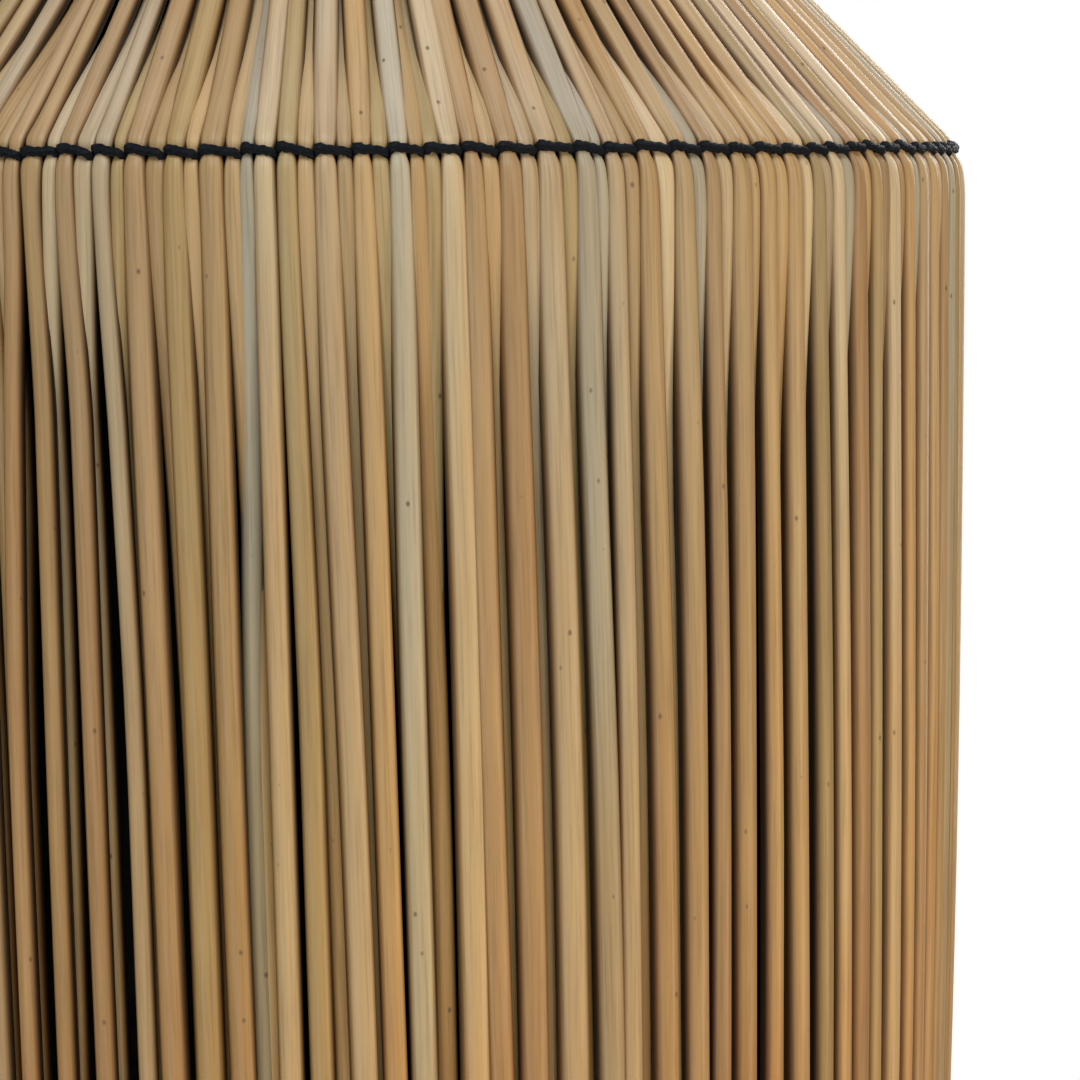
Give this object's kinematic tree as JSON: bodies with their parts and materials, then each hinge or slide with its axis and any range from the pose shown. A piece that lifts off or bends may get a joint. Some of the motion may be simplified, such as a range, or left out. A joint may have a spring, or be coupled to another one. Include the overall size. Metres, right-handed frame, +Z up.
{
  "type": "tiki torch",
  "caption": "Garden torch: reed-clad drum head folded to a cone over a lashed hoop, lift-out fuel canister with screw cap, wick and snuffer, and a clamped two-piece bamboo pole on a spike.",
  "frame": {"origin": "centre of the step plate's underside, at ground level, where the ground spike starts", "axes": "+Z runs up the pole, -Y is the front, where the thumb screw is, and +X is the side that the open snuffer leans to"},
  "size_m": [0.1614, 0.1614, 1.5325],
  "materials": {
    "ground_spike": "satin",
    "step_plate": "satin",
    "lower_socket": "satin",
    "lower_socket_screws": "satin",
    "lower_pole": "satin",
    "coupling_sleeve": "satin",
    "sleeve_screws": "satin",
    "clamp_pad": "satin",
    "thumb_screw": "satin",
    "upper_pole": "satin",
    "head_socket": "satin",
    "head_socket_screws": "satin",
    "base_bowl": "satin",
    "bolt_washer": "satin",
    "centre_bolt": "satin",
    "centre_nut": "satin",
    "shoulder_hoop": "matt",
    "lower_hoop": "matt",
    "neck_hoop": "matt",
    "drum_ribs": "matt",
    "cone_ribs": "matt",
    "heat_shield": "matt",
    "neck_collar": "satin",
    "outer_reeds": "satin",
    "inner_reeds": "satin",
    "shoulder_lashing": "waxed",
    "neck_lashing": "waxed",
    "lower_lashing": "waxed",
    "fuel_can": "satin",
    "can_lid": "satin",
    "cap_gasket": "matt",
    "screw_cap": "satin",
    "wick_tube": "satin",
    "snuffer_bracket": "satin",
    "bracket_rivets": "satin",
    "snuffer_pin": "satin",
    "wick": "matt",
    "snuffer_cup": "satin",
    "snuffer_arm": "satin",
    "snuffer_knob": "satin"
  },
  "bodies": {
    "stake": {"ground_spike": "ground_spike", "step_plate": "step_plate", "lower_socket": "lower_socket", "lower_socket_screws": "lower_socket_screws", "lower_pole": "lower_pole", "coupling_sleeve": "coupling_sleeve", "sleeve_screws": "sleeve_screws"},
    "clamp_pad": {"clamp_pad": "clamp_pad"},
    "thumb_screw": {"thumb_screw": "thumb_screw"},
    "torch_head": {"upper_pole": "upper_pole", "head_socket": "head_socket", "head_socket_screws": "head_socket_screws", "base_bowl": "base_bowl", "bolt_washer": "bolt_washer", "centre_bolt": "centre_bolt", "centre_nut": "centre_nut", "shoulder_hoop": "shoulder_hoop", "lower_hoop": "lower_hoop", "neck_hoop": "neck_hoop", "drum_ribs": "drum_ribs", "cone_ribs": "cone_ribs", "heat_shield": "heat_shield", "neck_collar": "neck_collar", "outer_reeds": "outer_reeds", "inner_reeds": "inner_reeds", "shoulder_lashing": "shoulder_lashing", "neck_lashing": "neck_lashing", "lower_lashing": "lower_lashing"},
    "canister": {"fuel_can": "fuel_can", "can_lid": "can_lid"},
    "gasket": {"cap_gasket": "cap_gasket"},
    "wick_cap": {"screw_cap": "screw_cap", "wick_tube": "wick_tube", "snuffer_bracket": "snuffer_bracket", "bracket_rivets": "bracket_rivets", "snuffer_pin": "snuffer_pin"},
    "wick": {"wick": "wick"},
    "snuffer": {"snuffer_cup": "snuffer_cup", "snuffer_arm": "snuffer_arm", "snuffer_knob": "snuffer_knob"}
  },
  "joints": [
    {"name": "pole_lift", "type": "slide", "parent": "stake", "child": "torch_head", "axis": [0, 0, 1], "range_m": [0, 0.07]},
    {"name": "pad_travel", "type": "slide", "parent": "stake", "child": "clamp_pad", "axis": [0, -1, 0], "range_m": [0, 0.002]},
    {"name": "screw_turn", "type": "hinge", "parent": "clamp_pad", "child": "thumb_screw", "pos_m": [0, -0.025, 0.5453], "axis": [0, -1, 0], "range_deg": [0, 720]},
    {"name": "canister_lift", "type": "slide", "parent": "torch_head", "child": "canister", "axis": [0, 0, 1], "range_m": [0, 0.13]},
    {"name": "cap_rise", "type": "slide", "parent": "canister", "child": "gasket", "axis": [0, 0, 1], "range_m": [0, 0.0111]},
    {"name": "cap_turn", "type": "hinge", "parent": "gasket", "child": "wick_cap", "pos_m": [0, 0, 1.3134], "axis": [0, 0, 1], "range_deg": [0, 990]},
    {"name": "wick_slide", "type": "slide", "parent": "wick_cap", "child": "wick", "axis": [0, 0, 1], "range_m": [-0.004, 0.004]},
    {"name": "snuffer_swing", "type": "hinge", "parent": "wick_cap", "child": "snuffer", "pos_m": [0.0248, 0, 1.318], "axis": [0, -1, 0], "range_deg": [0, 120]}
  ],
  "couplings": [
    {"joint": "pad_travel", "follows": "screw_turn", "m_per_rad": 0.00015915},
    {"joint": "cap_rise", "follows": "cap_turn", "m_per_rad": 0.00063662}
  ]
}
